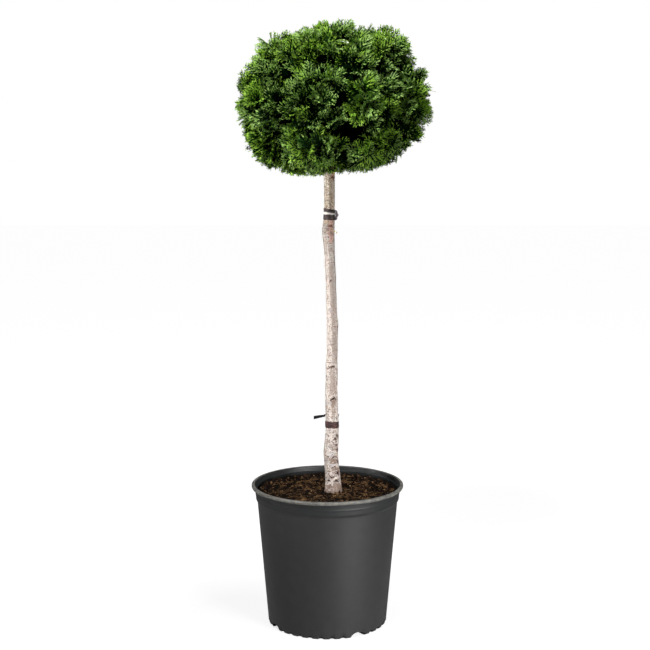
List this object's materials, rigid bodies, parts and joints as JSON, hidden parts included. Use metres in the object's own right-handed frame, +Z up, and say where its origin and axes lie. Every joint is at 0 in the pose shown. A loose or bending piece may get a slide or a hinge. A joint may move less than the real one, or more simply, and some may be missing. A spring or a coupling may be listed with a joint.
{
  "type": "potted false-cypress standard",
  "caption": "Evergreen conifer grown as a rounded ball of fan-shaped sprays on a tall bare stem, standing in a round nursery pot.",
  "frame": {"origin": "centre of the pot's flat underside, on the ground", "axes": "+Z up along the stem, -Y towards the front, +X to the right"},
  "size_m": [0.3635, 0.3574, 1.1111],
  "materials": {
    "pot": "dark grey moulded polypropylene, faintly grained, satin",
    "soil": "dark brown composted bark with paler chips",
    "bark": "pale pinkish-beige smooth bark with fine cross lines and dark scars",
    "bough": "brown scaly young bark",
    "foliage": "deep green scale leaves with yellow-green tips",
    "tie": "dark brown nursery tape",
    "strap": "black plastic strap"
  },
  "bodies": {
    "root": {"pot": "pot", "soil": "soil", "trunk": "bark", "tie_band_upper": "tie", "tie_band_middle": "tie", "tie_band_lower": "tie", "tie_strap": "strap", "bough_lower_1": "bough", "mass_lower_1": "foliage", "bough_lower_2": "bough", "mass_lower_2": "foliage", "bough_lower_3": "bough", "mass_lower_3": "foliage", "bough_lower_4": "bough", "mass_lower_4": "foliage", "bough_lower_5": "bough", "mass_lower_5": "foliage", "bough_lower_6": "bough", "mass_lower_6": "foliage", "bough_middle_1": "bough", "mass_middle_1": "foliage", "bough_middle_2": "bough", "mass_middle_2": "foliage", "bough_middle_3": "bough", "mass_middle_3": "foliage", "bough_middle_4": "bough", "mass_middle_4": "foliage", "bough_middle_5": "bough", "mass_middle_5": "foliage", "bough_middle_6": "bough", "mass_middle_6": "foliage", "bough_middle_7": "bough", "mass_middle_7": "foliage", "bough_middle_8": "bough", "mass_middle_8": "foliage", "bough_upper_1": "bough", "mass_upper_1": "foliage", "bough_upper_2": "bough", "mass_upper_2": "foliage", "bough_upper_3": "bough", "mass_upper_3": "foliage", "bough_upper_4": "bough", "mass_upper_4": "foliage", "bough_upper_5": "bough", "mass_upper_5": "foliage", "bough_upper_6": "bough", "mass_upper_6": "foliage", "mass_top": "foliage"}
  },
  "joints": []
}
